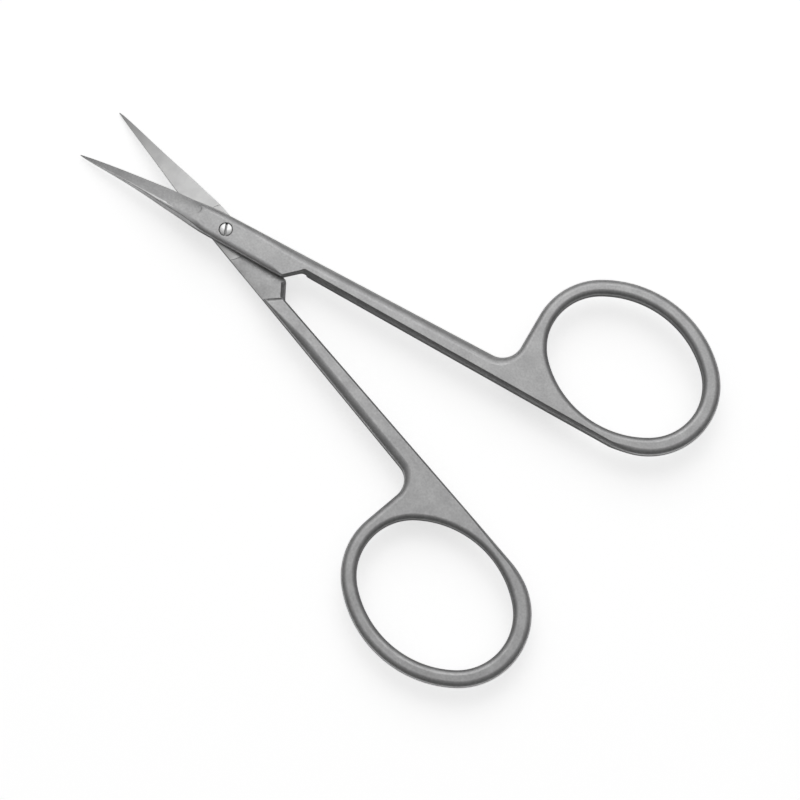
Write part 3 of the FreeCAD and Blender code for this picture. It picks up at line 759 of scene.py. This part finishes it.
# %% Meeting face of a half
def add_meeting_face(shell, outer, side, root, bore):
    """The ground land round the joint, its bevel, and the relieved face behind it."""
    on_outer = outer[:, -1, 2] < RELIEF / 2
    on_side = side[:, -1, 2] < RELIEF / 2
    arcs = []
    for outer_end, side_end in (
        (outer[on_outer][-1, -1], side[on_side][0, -1]),
        (outer[~on_outer][0, -1], side[~on_side][-1, -1]),
    ):
        turn = np.linspace(heading(outer_end[:2]) + 2 * math.pi, heading(side_end[:2]), LAND_STEPS)
        radius = np.linspace(np.hypot(*outer_end[:2]), np.hypot(*side_end[:2]), LAND_STEPS)
        level = np.full(LAND_STEPS, outer_end[2])
        arcs.append(np.stack([radius * np.cos(turn), radius * np.sin(turn), level], 1))
    shell.grid(np.stack(arcs, 1), SATIN)
    land = [outer[on_outer][:, -1], arcs[0][1:-1], side[on_side][:, -1], root[::-1]]
    shell.fill([np.concatenate(land), bore], GROUND)
    relieved = [outer[~on_outer][:, -1], side[~on_side][:, -1], arcs[1][1:-1][::-1]]
    shell.fill([np.concatenate(relieved)], SATIN)


# %% Building a half
def make_half(corner_back, box_bevel, hole_rings, turned):
    """Shell of one half in its own frame; hole_rings is the joint hole from top to meeting face."""
    shell = Shell()
    parts = half_outline(corner_back, box_bevel, turned)
    box, shank, box_side = [join_stretches(parts[name]) for name in ("box outer", "handle", "box side")]
    points = np.concatenate([box[0][:-1], shank[0][:-1], box_side[0]])
    top = np.concatenate([box[1][:-1], shank[1][:-1], box_side[1]])
    low = np.concatenate([box[2], shank[2][1:-1], box_side[2]])
    first = len(box[0]) - 1
    last = first + len(shank[0]) - 1
    square = inward(points)
    square[0] = (0, 1)
    square[-1] = (0, -1)
    foot = np.where(np.hypot(*points.T) > LAND + LAND_BEVEL / 2, RELIEF, 0.0)
    middle = (foot + low[:, 1] + PLATE - top[:, 1]) / 2
    between = slice(first + 1, last)
    middle[between] = (PLATE - top[between, 1] - DEPTH + shank[2][1:-1, 1]) / 2
    middle[[first, last]] = (foot + low[:, 1])[[first, last]]
    upper = upper_strip(points, square, top, middle)
    shell.grid(upper, SATIN)
    base = points[first]
    step = points[last] - base
    step = step / np.linalg.norm(step)
    away = np.array([-step[1], step[0]])
    mitred = square.copy()
    mitred[first] = step / step.dot(square[first])
    mitred[last] = step / step.dot(square[last])
    pick = slice(0, first + 1)
    outer = lower_strip(points[pick], mitred[pick], low[pick], middle[pick], foot[pick], BREAK_STEPS, False)
    pick = slice(last, None)
    side = lower_strip(points[pick], mitred[pick], low[pick], middle[pick], foot[pick], BREAK_STEPS, False)
    pick = slice(first, last + 1)
    handle = lower_strip(points[pick], mitred[pick], shank[2], middle[pick], -DEPTH, ROUND_STEPS, True)
    for strip in (outer, side, handle):
        shell.grid(strip, SATIN)
    # The wall of the step, laid out by its own length and height
    shell.fill(
        [np.concatenate([outer[-1, :0:-1], handle[0, 1:], handle[-1, :0:-1], side[0, 1:]])], SATIN,
        flat=lambda p: np.stack([(p[:, :2] - base) @ step, p[:, 2]], 1),
        back=lambda p: np.concatenate([base + p[:, :1] * step, p[:, 1:]], 1),
    )
    hole_top, hole_low = add_finger_hole(shell, turned)
    root_top, root_low = add_blade(shell)
    shell.fill([np.concatenate([upper[:, 0], root_top]), hole_top, hole_rings[0]], SATIN)
    shell.fill([handle[:, -1], hole_low], SATIN, inside=step_corners(handle, away))
    add_meeting_face(shell, outer, side, root_low, hole_rings[-1])
    shell.grid(np.stack(hole_rings, 1), SATIN, loop=True)
    shell.points = [round_step(row.copy(), base, away) for row in shell.points]
    return shell


# %% From a half's own frame to where it lies
def bend_blade(points, way):
    """The blade's sweep: z changes by (x - start)^2 / (2 radius) past where it starts."""
    past = np.clip(points[:, 0] - BEND_START, 0, None)
    points = points.copy()
    points[:, 2] += way * past**2 / (2 * BEND_RADIUS)
    return points


def turn_about_joint(points, degrees):
    """Points turned about the joint axis."""
    c, s = math.cos(math.radians(degrees)), math.sin(math.radians(degrees))
    x, y, z = points.T
    return np.stack([c * x - s * y, s * x + c * y, z], 1)


def place_upper(points):
    """The upper half as it lies: swung open one way, just above the meeting plane."""
    points = turn_about_joint(bend_blade(points, -1), OPENING / 2)
    return points + (0, 0, MEETING + HALF_GAP)


def place_lower(points):
    """The lower half as it lies: turned over, swung open the other way."""
    points = bend_blade(points, 1) * (1, -1, -1)
    points = turn_about_joint(points, -OPENING / 2)
    return points + (0, 0, MEETING - HALF_GAP)


# %% The two halves
SEAT_LIP = 0.02
THREAD_LIP = 0.06
upper_hole = [
    ring_points(HEAD_SEAT + SEAT_LIP, PLATE),
    ring_points(HEAD_SEAT, PLATE - SEAT_LIP),
    ring_points(HEAD_SEAT, PLATE - SEAT_DEPTH),
    ring_points(BORE, PLATE - SEAT_DEPTH),
    ring_points(BORE, 0),
]
lower_hole = [
    ring_points(THREAD + THREAD_LIP, PLATE),
    ring_points(THREAD, PLATE - THREAD_LIP),
    ring_points(THREAD, 0),
]
upper_shell = make_half(BOX_CORNER, UPPER_BEVEL, upper_hole, False)
lower_shell = make_half(BOX_CORNER + END_OFFSET, LOWER_BEVEL, lower_hole, True)
upper_mesh = upper_shell.mesh("satin_upper_half", place_upper)
lower_mesh = lower_shell.mesh("satin_lower_half", place_lower)
upper_half = bpy.data.objects.new("satin_upper_half", upper_mesh)
lower_half = bpy.data.objects.new("satin_lower_half", lower_mesh)

# %% [markdown]
# ## Joint screw
# The screw is turned from bar: a low domed head with a slot, a plain shank and a threaded end. A disc
# spun about the axis would have no clean lines for the slot, so the head's top is a grid of lines laid
# along it: the slot's walls fall between two lines and stay straight. The rim then goes down as rings
# of points at the same bearings. The thread is hidden in the lower half and left plain.

# %% Screw
SLOT_TURN = 122.0
SLOT_HALF = 0.15
SLOT_LIP = 0.03
SLOT_DEPTH = 0.38
HEAD = 0.95
HEAD_HEIGHT = 0.55
HEAD_DOME = 0.09
HEAD_RECESS = 0.08
HEAD_EDGE = 0.15
CROWN_STEPS = 16
ACROSS_STEPS = 25
SCREW_END = 0.1
SCREW_CHAMFER = 0.12
SHANK = 0.74


def screw_shell():
    """Head, shank and end of the screw, upright on the joint axis.

    The top is z = rim + dome (1 - r^2 / R^2), cut down to a flat floor between the slot's walls.
    """
    shell = Shell()
    rim = PLATE + MEETING + HALF_GAP - HEAD_RECESS
    crown = HEAD - HEAD_EDGE
    outward = SLOT_HALF + (crown - SLOT_HALF) * np.sin(np.linspace(0, math.pi / 2, CROWN_STEPS)[1:])
    beside = np.concatenate([[SLOT_HALF, SLOT_HALF, SLOT_HALF + SLOT_LIP], outward])
    v = np.concatenate([-beside[::-1], [0], beside])[:, None]
    cut = np.concatenate([[1, SLOT_LIP], np.zeros(CROWN_STEPS)])
    sunk = np.concatenate([cut[::-1], [1], cut])[:, None]
    reach = np.sqrt(np.clip(crown**2 - v**2, 0, None))
    u = reach * np.sin(np.linspace(-math.pi / 2, math.pi / 2, ACROSS_STEPS))
    v = np.broadcast_to(v, u.shape)
    dome = rim + HEAD_DOME * (1 - (u**2 + v**2) / HEAD**2)
    z = dome * (1 - sunk) + (rim - SLOT_DEPTH) * sunk
    top = turn_about_joint(np.stack([u, v, z], 2).reshape(-1, 3), SLOT_TURN).reshape(u.shape + (3,))
    in_slot = (sunk[:-1] + sunk[1:] > 0.5) & np.ones((1, u.shape[1] - 1), bool)
    # Faces in the slot get the second finish, whose darker colour is painted shade.
    shell.grid(top, in_slot.ravel())
    loop = np.concatenate([top[:, 0], top[-2:0:-1, -1]])
    outline = loop[:, :2] / np.linalg.norm(loop[:, :2], axis=1)[:, None]
    below = loop[:, 2] - HEAD_EDGE * 0.7

    def ring(radius, height):
        level = np.broadcast_to(height, (len(loop),))
        return np.concatenate([outline * radius, level[:, None]], 1)

    seat = rim - HEAD_HEIGHT
    rings = [
        loop, ring(HEAD - HEAD_EDGE * 0.3, loop[:, 2] - HEAD_EDGE * 0.2), ring(HEAD, below),
        ring(HEAD, seat), ring(SHANK, seat), ring(SHANK, SCREW_END + SCREW_CHAMFER),
        ring(SHANK - SCREW_CHAMFER, SCREW_END), ring(0, SCREW_END),
    ]
    shell.grid(np.stack(rings, 1), 0, loop=True)
    return shell


screw_mesh = screw_shell().mesh("polished_screw", lambda points: points)
screw = bpy.data.objects.new("polished_screw", screw_mesh)

# %% [markdown]
# ## Satin, ground and polished steel
# All the finishes are the same stainless steel. The outside is blasted to an even satin with a fine
# grain. Along the blades' ridges a far brighter steel colour is a painted highlight. The inner faces
# of the blades and the land round the screw are ground, so they are smoother and carry fine straight
# scratches. The screw is polished, and its slot is left rough from the saw and painted darker as shade,
# because it lies deep. Pictures of steel would need unwrapping, so noise in Object coordinates gives
# grain, scratches and a slow change of tone instead.

# %% What every finish is made of
NOISE_LOW, NOISE_HIGH = 0.3, 0.7
EDGE_TINT = 0.25
GRAIN_HIGH = 0.00002
WAVE_HIGH = 0.00006


def gray(level):
    """A gray as a color."""
    return level, level, level, 1


class Finish:
    """One finish of the steel: a metal with one shader, and helpers that add nodes to it."""

    def __init__(self, name, color):
        self.material = bpy.data.materials.new(name)
        self.material.use_nodes = True
        self.nodes = self.material.node_tree.nodes
        self.links = self.material.node_tree.links
        self.shader = self.nodes["Principled BSDF"]
        self.shader.inputs["Metallic"].default_value = 1.0
        self.shader.inputs["Base Color"].default_value = color
        self.shader.inputs["Specular Tint"].default_value = gray(EDGE_TINT)

    def drive(self, socket, value):
        """Lets a node's value set one of the shader's sockets."""
        self.links.new(value, self.shader.inputs[socket])

    def noise(self, scale, detail, stretch=(1, 1, 1)):
        """Noise in Object coordinates, scaled per metre, stretched along the axes."""
        where = self.nodes.new("ShaderNodeTexCoord")
        mapping = self.nodes.new("ShaderNodeMapping")
        mapping.inputs["Scale"].default_value = stretch
        texture = self.nodes.new("ShaderNodeTexNoise")
        texture.inputs["Scale"].default_value = scale
        texture.inputs["Detail"].default_value = detail
        self.links.new(where.outputs["Object"], mapping.inputs["Vector"])
        self.links.new(mapping.outputs["Vector"], texture.inputs["Vector"])
        return texture.outputs["Fac"]

    def spread(self, value, low, high):
        """The usual noise values stretched to run from low to high."""
        node = self.nodes.new("ShaderNodeMapRange")
        node.inputs["From Min"].default_value = NOISE_LOW
        node.inputs["From Max"].default_value = NOISE_HIGH
        node.inputs["To Min"].default_value = low
        node.inputs["To Max"].default_value = high
        self.links.new(value, node.inputs["Value"])
        return node.outputs["Result"]

    def tones(self, value, dark, bright):
        """A color between dark and bright, chosen by a noise value."""
        node = self.nodes.new("ShaderNodeValToRGB")
        stops = zip(node.color_ramp.elements, (NOISE_LOW, NOISE_HIGH), (dark, bright))
        for stop, position, color in stops:
            stop.position = position
            stop.color = color
        self.links.new(value, node.inputs["Fac"])
        return node.outputs["Color"]

    def times(self, first, second):
        """Two colors multiplied."""
        node = self.nodes.new("ShaderNodeVectorMath")
        node.operation = "MULTIPLY"
        self.links.new(first, node.inputs[0])
        self.links.new(second, node.inputs[1])
        return node.outputs["Vector"]

    def bumps(self, value, strength, distance, under=None):
        """A bump from a noise value, on top of another bump."""
        node = self.nodes.new("ShaderNodeBump")
        node.inputs["Strength"].default_value = strength
        node.inputs["Distance"].default_value = distance
        self.links.new(value, node.inputs["Height"])
        if under is not None:
            self.links.new(under, node.inputs["Normal"])
        return node.outputs["Normal"]


# %% Finishes of the halves
def satin_steel():
    """Blasted stainless steel: fine grain, slow waves from hand dressing, slightly uneven gloss."""
    steel = Finish("blasted_satin_steel", gray(0.55))
    grain = steel.noise(scale=5200, detail=2)
    cloud = steel.noise(scale=420, detail=4)
    wave = steel.noise(scale=230, detail=1)
    speck = steel.noise(scale=3300, detail=1)
    color = steel.tones(cloud, dark=(0.55, 0.55, 0.552, 1), bright=gray(0.645))
    specks = steel.tones(speck, dark=gray(0.86), bright=gray(1.0))
    steel.drive("Base Color", steel.times(color, specks))
    steel.drive("Roughness", steel.spread(grain, low=0.36, high=0.46))
    slow = steel.bumps(wave, strength=0.25, distance=WAVE_HIGH)
    steel.drive("Normal", steel.bumps(grain, strength=0.16, distance=GRAIN_HIGH, under=slow))
    return steel.material


def ground_steel():
    """Wheel-ground steel: smoother, with fine scratches across the blade."""
    steel = Finish("ground_steel", gray(0.56))
    scratch = steel.noise(scale=1800, detail=3, stretch=(7, 0.5, 1))
    cloud = steel.noise(scale=500, detail=3)
    steel.drive("Base Color", steel.tones(cloud, dark=gray(0.52), bright=(0.6, 0.6, 0.595, 1)))
    steel.drive("Roughness", steel.spread(scratch, low=0.28, high=0.36))
    steel.drive("Normal", steel.bumps(scratch, strength=0.05, distance=GRAIN_HIGH))
    return steel.material


def ridge_highlight_steel():
    """Painted highlight on the blade's ridge: a steel colour far brighter than the blasted faces beside it.
    """
    # The bright base colour below paints the ridge's highlight; the noise only makes it uneven.
    steel = Finish("painted_ridge_highlight_steel", gray(0.84))
    uneven_highlight = steel.noise(scale=900, detail=3)
    steel.drive("Base Color", steel.tones(uneven_highlight, dark=gray(0.72), bright=gray(0.94)))
    steel.drive("Roughness", steel.spread(uneven_highlight, low=0.4, high=0.3))
    return steel.material


satin = satin_steel()
ground = ground_steel()
ridge_highlight = ridge_highlight_steel()
print("finishes of the halves", [material.name for material in (satin, ground, ridge_highlight)])


# %% Finishes of the screw
def polished_steel():
    """Polished screw steel: bright, with a faint haze and softer patches of gloss."""
    steel = Finish("polished_screw_steel", gray(0.72))
    haze = steel.noise(scale=1400, detail=3)
    steel.drive("Base Color", steel.tones(haze, dark=gray(0.7), bright=(0.78, 0.78, 0.775, 1)))
    steel.drive("Roughness", steel.spread(haze, low=0.1, high=0.2))
    steel.drive("Normal", steel.bumps(haze, strength=0.06, distance=GRAIN_HIGH))
    return steel.material


def sawn_and_shaded_steel():
    """The floor and walls of the screw's slot: rough from the saw, and painted darker as shade because they
    lie deep.
    """
    steel = Finish("sawn_and_shaded_slot_steel", gray(0.6))
    mark = steel.noise(scale=4000, detail=2)
    # The darker colour is painted shade for the deep slot; the saw marks only vary it.
    steel.drive("Base Color", steel.tones(mark, dark=gray(0.5), bright=gray(0.66)))
    steel.drive("Roughness", steel.spread(mark, low=0.45, high=0.6))
    return steel.material


polished = polished_steel()
sawn_and_shaded = sawn_and_shaded_steel()
print("finishes of the screw", [material.name for material in (polished, sawn_and_shaded)])

# %% [markdown]
# ## Joining the pieces to the frame
# Each piece stands for one CAD node, so that node is hidden and the piece rides on the node's body.
# The screw is threaded into the lower half and turns with it. The upper half swings about the screw.

# %% Pieces ride on their bodies
for piece, finishes, node, body, slot in (
    (upper_half, (satin, ground, ridge_highlight), "upper_half", "upper", "satin_steel"),
    (lower_half, (satin, ground, ridge_highlight), "lower_half", "lower", "satin_steel"),
    (screw, (polished, sawn_and_shaded), "pivot_screw", "lower", "polished_steel"),
):
    for finish in finishes:
        piece.data.materials.append(finish)
    bpy.context.scene.collection.objects.link(piece)
    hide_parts(node)
    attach(piece, body)
    print(piece.name, "stands for", node, "and rides on", body)

# %% [markdown]
# ## Floor and light
# The scissors lie on white paper in a light tent. Steel shows what is around it, so the tent is a
# world that is bright overhead and dark at the horizon: flat faces turn pale, and edges and walls
# that look sideways turn dark. The bright patch overhead leans to the far side and is broader from
# left to right. Paper close under the scissors lies in their shade, and the steel mirrors it so. A soft
# lamp at the far side and a second one that lights the paper alone throw the faint shadow.

# %% Floor
FLOOR_SIZE = 6.0
FLOOR_STEPS = 96
FLOOR_BELOW = 0.00002
floor_level = min(np.array(corner)[2] for corner in cad_box)
floor_turn = np.linspace(0, 2 * math.pi, FLOOR_STEPS, endpoint=False)
floor_height = np.full(FLOOR_STEPS, floor_level - FLOOR_BELOW)
floor_points = np.stack([FLOOR_SIZE * np.cos(floor_turn), FLOOR_SIZE * np.sin(floor_turn), floor_height], 1)
floor_mesh = bpy.data.meshes.new("floor")
floor_mesh.from_pydata(floor_points.tolist(), [], [list(range(FLOOR_STEPS))])
floor = bpy.data.objects.new("floor", floor_mesh)
bpy.context.scene.collection.objects.link(floor)
print("floor at", round(floor_level / MM, 2), "mm")

# %% White paper that keeps the shadow
PAPER = 0.94
FLOOR_GLOW = 0.63
FLOOR_SHADE = 0.1
FLOOR_SHADE_POWER = 20.0
FLOOR_SHADE_SAMPLES = 24
paper = bpy.data.materials.new("white_paper")
paper.use_nodes = True
nodes, links = paper.node_tree.nodes, paper.node_tree.links
nodes.remove(nodes["Principled BSDF"])
diffuse = nodes.new("ShaderNodeBsdfDiffuse")
diffuse.inputs["Color"].default_value = gray(PAPER)
glow = nodes.new("ShaderNodeEmission")
glow.inputs["Color"].default_value = gray(FLOOR_GLOW)
path = nodes.new("ShaderNodeLightPath")
shade = nodes.new("ShaderNodeAmbientOcclusion")
shade.samples = FLOOR_SHADE_SAMPLES
shade.inputs["Distance"].default_value = FLOOR_SHADE


def worked(operation, first, second):
    """The output of a Math node in the paper between two outputs, or an output and a number."""
    node = nodes.new("ShaderNodeMath")
    node.operation = operation
    links.new(first, node.inputs[0])
    if isinstance(second, float):
        node.inputs[1].default_value = second
    else:
        links.new(second, node.inputs[1])
    return node.outputs["Value"]


mirrored = worked("MAXIMUM", path.outputs["Is Glossy Ray"], path.outputs["Is Transmission Ray"])
deeper = worked("POWER", shade.outputs["AO"], FLOOR_SHADE_POWER)
near = worked("MULTIPLY", mirrored, deeper)
seen = worked("MAXIMUM", near, path.outputs["Is Camera Ray"])
both = nodes.new("ShaderNodeAddShader")
links.new(seen, glow.inputs["Strength"])
links.new(diffuse.outputs["BSDF"], both.inputs[0])
links.new(glow.outputs["Emission"], both.inputs[1])
links.new(both.outputs["Shader"], nodes["Material Output"].inputs["Surface"])
floor_mesh.materials.append(paper)
print("paper glows at", FLOOR_GLOW, "to the camera and to the steel")

# %% Light tent
TENT_LEAN = math.radians(24)
TENT_LEVEL = 1.2
TENT_BROAD = 1.35
TENT_TONES = (
    (0.0, 0.05), (0.5, 0.065), (0.75, 0.115), (0.854, 0.175), (0.933, 0.27),
    (0.97, 0.42), (0.983, 0.65), (0.9924, 0.92), (1.0, 1.0),
)
world = bpy.data.worlds.new("light_tent")
bpy.context.scene.world = world
world.use_nodes = True
nodes, links = world.node_tree.nodes, world.node_tree.links
where = nodes.new("ShaderNodeTexCoord")
broader = nodes.new("ShaderNodeMapping")
broader.vector_type = "TEXTURE"
broader.inputs["Rotation"].default_value = (0, 0, heading(right))
broader.inputs["Scale"].default_value = (TENT_BROAD, 1, 1)
unit = nodes.new("ShaderNodeVectorMath")
unit.operation = "NORMALIZE"
toward_top = nodes.new("ShaderNodeVectorMath")
toward_top.operation = "DOT_PRODUCT"
toward_top.inputs[1].default_value = (0, math.sin(TENT_LEAN), math.cos(TENT_LEAN))
share = nodes.new("ShaderNodeMapRange")
share.inputs["From Min"].default_value = -1
tent = nodes.new("ShaderNodeValToRGB")
for number, (place, tone) in enumerate(TENT_TONES):
    if number < 2:
        stop = tent.color_ramp.elements[number]
    else:
        stop = tent.color_ramp.elements.new(place)
    stop.position = place
    stop.color = gray(tone)
links.new(where.outputs["Generated"], broader.inputs["Vector"])
links.new(broader.outputs["Vector"], unit.inputs[0])
links.new(unit.outputs["Vector"], toward_top.inputs[0])
links.new(toward_top.outputs["Value"], share.inputs["Value"])
links.new(share.outputs["Result"], tent.inputs["Fac"])
links.new(tent.outputs["Color"], nodes["Background"].inputs["Color"])
nodes["Background"].inputs["Strength"].default_value = TENT_LEVEL
print("tent of", len(tent.color_ramp.elements), "tones")

# %% Lamps
LAMP_DISTANCE = 0.8
LAMP_SIZE = 0.7
LAMP_WAY = ahead + upright * 1.2
SOFT_LAMP = 0.4
PAPER_LAMP = 0.5


def soft_lamp(name, way, energy):
    """A round soft lamp that looks at the scissors from the direction way."""
    data = bpy.data.lights.new(name, "AREA")
    data.shape = "DISK"
    data.size = LAMP_SIZE
    data.energy = energy
    lamp = bpy.data.objects.new(name, data)
    lamp.rotation_mode = "QUATERNION"
    lamp.rotation_quaternion = way.to_track_quat("Z", "Y")
    lamp.location = VIEW_AIM * MM + way.normalized() * LAMP_DISTANCE
    bpy.context.scene.collection.objects.link(lamp)
    print(name, "at", tuple(round(v, 3) for v in lamp.location))
    return lamp


soft_lamp("soft_lamp", LAMP_WAY, SOFT_LAMP)
paper_lamp = soft_lamp("paper_lamp", LAMP_WAY, PAPER_LAMP)
paper_lamp.visible_glossy = False
bpy.context.scene.view_settings.view_transform = "Standard"
